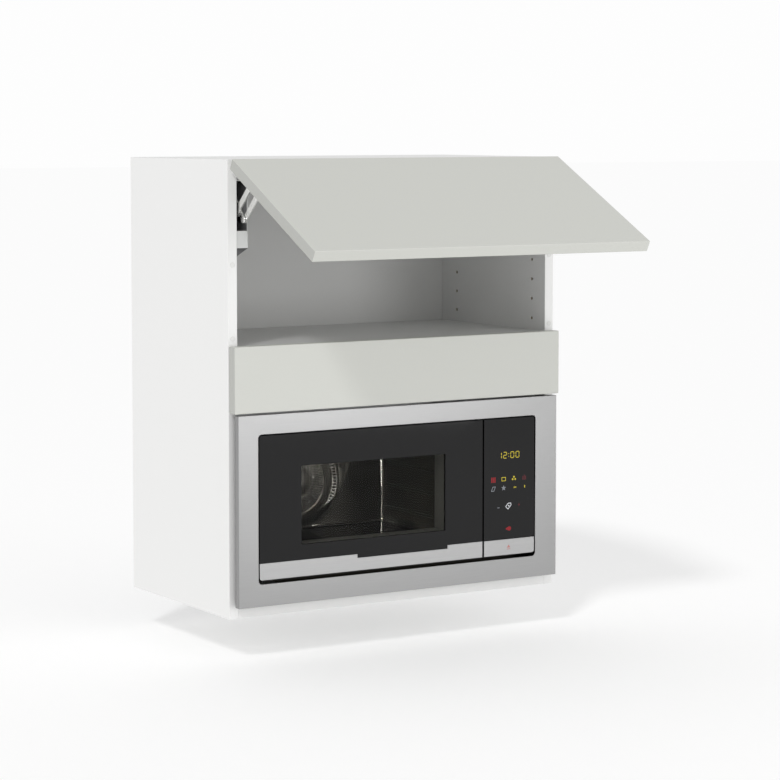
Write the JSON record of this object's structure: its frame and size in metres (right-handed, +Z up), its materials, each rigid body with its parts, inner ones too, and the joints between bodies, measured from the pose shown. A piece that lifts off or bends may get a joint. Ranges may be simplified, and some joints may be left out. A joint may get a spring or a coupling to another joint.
{
  "type": "lift up wall cabinet",
  "caption": "White kitchen wall cabinet with a grey lift up flap over an open compartment and a built-in combination microwave oven below a fascia strip.",
  "frame": {"origin": "middle of the wall rail's screw line, on the wall", "axes": "+X to the right as seen from the front, +Y into the wall, +Z up"},
  "size_m": [0.6, 0.5906, 0.7013],
  "materials": {
    "melamine_white": "white melamine-faced chipboard, fine matt grain",
    "beech_dowel": "plain beech",
    "lacquer_pebble": "smooth matt pebble-grey lacquer on fibreboard",
    "zinc_steel": "bright zinc-plated steel",
    "clear_rubber": "clear soft rubber",
    "white_plastic": "moulded white plastic",
    "nickel_steel": "nickel-plated stamped steel",
    "grey_plastic": "light grey moulded plastic",
    "spring_steel": "oiled spring steel",
    "black_plastic": "black moulded plastic",
    "galvanised_sheet": "galvanised sheet with spangle",
    "cavity_steel": "satin stainless sheet",
    "brushed_stainless": "long-grain brushed stainless steel",
    "glass_ceramic": "polished black glass-ceramic",
    "heater_tube": "dark oxidised heater tube",
    "transformer_iron": "varnished iron laminations and copper windings",
    "black_glass": "smoked black glass with a clear window",
    "circuit_board": "green circuit board",
    "display": "amber display behind dark glass",
    "black_enamel": "black stove enamel on sheet steel",
    "black_rubber": "black rubber"
  },
  "bodies": {
    "cabinet": {"side_left": "melamine_white", "side_right": "melamine_white", "top_panel": "melamine_white", "bottom_panel": "melamine_white", "fixed_shelf": "melamine_white", "back_panel": "melamine_white", "carcass_dowels": "beech_dowel", "fascia_strip": "lacquer_pebble", "fascia_angles": "zinc_steel", "front_bumpers": "clear_rubber", "wall_rail": "zinc_steel", "hanger_bodies": "white_plastic", "hanger_hooks": "zinc_steel", "lift_bases": "nickel_steel", "lift_covers": "grey_plastic", "lift_screws": "zinc_steel", "lift_springs": "spring_steel", "casing": "galvanised_sheet", "cavity": "cavity_steel", "cavity_front": "cavity_steel", "trim_frame": "brushed_stainless", "spacer_frame": "black_plastic", "ceramic_floor": "glass_ceramic", "fan_cover": "cavity_steel", "convection_motor": "galvanised_sheet", "ring_heater": "heater_tube", "cavity_lamp": "white_plastic", "magnetron": "galvanised_sheet", "transformer": "transformer_iron", "capacitor": "galvanised_sheet", "cooling_fan_housing": "black_plastic", "control_glass": "black_glass", "control_housing": "black_plastic", "control_board": "circuit_board", "display_module": "display", "door_latch": "white_plastic", "door_hinges": "zinc_steel", "cord_gland": "black_rubber"},
    "flap": {"flap_panel": "lacquer_pebble", "flap_brackets": "nickel_steel", "bracket_screws": "zinc_steel"},
    "main_lever_left": {"main_lever_left": "nickel_steel"},
    "guide_lever_left": {"guide_lever_left": "nickel_steel"},
    "lower_link_left": {"lower_link_left": "nickel_steel"},
    "upper_link_left": {"upper_link_left": "nickel_steel"},
    "spring_carriage_left": {"spring_carriage_left": "black_plastic"},
    "main_lever_right": {"main_lever_right": "nickel_steel"},
    "guide_lever_right": {"guide_lever_right": "nickel_steel"},
    "lower_link_right": {"lower_link_right": "nickel_steel"},
    "upper_link_right": {"upper_link_right": "nickel_steel"},
    "spring_carriage_right": {"spring_carriage_right": "black_plastic"},
    "oven_door": {"door_glass": "black_glass", "door_bar": "brushed_stainless", "door_frame": "black_plastic", "door_screen": "black_enamel", "door_inner_glass": "black_glass", "door_hooks": "black_plastic"},
    "door_button": {"open_button": "brushed_stainless"},
    "convection_fan": {"convection_fan": "cavity_steel"},
    "cooling_fan": {"cooling_fan": "white_plastic"}
  },
  "joints": [
    {"name": "flap_hinge", "type": "hinge", "parent": "cabinet", "child": "flap", "pos_m": [0, -0.3446, 0.051], "axis": [-1, 0, 0], "range_deg": [-62.5, 44.5]},
    {"name": "main_lever_left_pivot", "type": "hinge", "parent": "cabinet", "child": "main_lever_left", "pos_m": [-0.276, -0.3, 0.01], "axis": [-1, 0, 0], "range_deg": [-62.5, 44.5]},
    {"name": "guide_lever_left_pivot", "type": "hinge", "parent": "cabinet", "child": "guide_lever_left", "pos_m": [-0.276, -0.28, 0.012], "axis": [-1, 0, 0], "range_deg": [-62.5, 44.5]},
    {"name": "lower_link_left_pivot", "type": "hinge", "parent": "main_lever_left", "child": "lower_link_left", "pos_m": [-0.276, -0.33812, -0.03589], "axis": [-1, 0, 0], "range_deg": [-44.5, 62.5]},
    {"name": "upper_link_left_pivot", "type": "hinge", "parent": "main_lever_left", "child": "upper_link_left", "pos_m": [-0.276, -0.32127, -0.02711], "axis": [-1, 0, 0], "range_deg": [-44.5, 62.5]},
    {"name": "spring_carriage_left_slide", "type": "slide", "parent": "cabinet", "child": "spring_carriage_left", "axis": [0, 0, 1], "range_m": [-0.00819, 0.00584], "deforming": ["lift_springs"]},
    {"name": "main_lever_right_pivot", "type": "hinge", "parent": "cabinet", "child": "main_lever_right", "pos_m": [0.276, -0.3, 0.01], "axis": [-1, 0, 0], "range_deg": [-62.5, 44.5]},
    {"name": "guide_lever_right_pivot", "type": "hinge", "parent": "cabinet", "child": "guide_lever_right", "pos_m": [0.276, -0.28, 0.012], "axis": [-1, 0, 0], "range_deg": [-62.5, 44.5]},
    {"name": "lower_link_right_pivot", "type": "hinge", "parent": "main_lever_right", "child": "lower_link_right", "pos_m": [0.276, -0.33812, -0.03589], "axis": [-1, 0, 0], "range_deg": [-44.5, 62.5]},
    {"name": "upper_link_right_pivot", "type": "hinge", "parent": "main_lever_right", "child": "upper_link_right", "pos_m": [0.276, -0.32127, -0.02711], "axis": [-1, 0, 0], "range_deg": [-44.5, 62.5]},
    {"name": "spring_carriage_right_slide", "type": "slide", "parent": "cabinet", "child": "spring_carriage_right", "axis": [0, 0, 1], "range_m": [-0.00819, 0.00584]},
    {"name": "door_hinge", "type": "hinge", "parent": "cabinet", "child": "oven_door", "pos_m": [-0.2505, -0.3427, -0.475], "axis": [0, 0, -1], "range_deg": [0, 95]},
    {"name": "button_press", "type": "slide", "parent": "cabinet", "child": "door_button", "axis": [0, 1, 0], "range_m": [0, 0.0025], "stiffness_N_per_m": 800},
    {"name": "convection_fan_spin", "type": "hinge", "parent": "cabinet", "child": "convection_fan", "pos_m": [-0.023, -0.04, -0.487], "axis": [0, 1, 0], "continuous": true},
    {"name": "cooling_fan_spin", "type": "hinge", "parent": "cabinet", "child": "cooling_fan", "pos_m": [0.226, -0.04, -0.389], "axis": [0, 1, 0], "continuous": true}
  ],
  "couplings": [
    {"joint": "main_lever_left_pivot", "follows": "flap_hinge", "ratio": 1},
    {"joint": "guide_lever_left_pivot", "follows": "flap_hinge", "ratio": 1},
    {"joint": "lower_link_left_pivot", "follows": "flap_hinge", "ratio": -1},
    {"joint": "upper_link_left_pivot", "follows": "flap_hinge", "ratio": -1},
    {"joint": "spring_carriage_left_slide", "follows": "flap_hinge", "m_per_rad": 0.0075},
    {"joint": "main_lever_right_pivot", "follows": "flap_hinge", "ratio": 1},
    {"joint": "guide_lever_right_pivot", "follows": "flap_hinge", "ratio": 1},
    {"joint": "lower_link_right_pivot", "follows": "flap_hinge", "ratio": -1},
    {"joint": "upper_link_right_pivot", "follows": "flap_hinge", "ratio": -1},
    {"joint": "spring_carriage_right_slide", "follows": "flap_hinge", "m_per_rad": 0.0075}
  ]
}
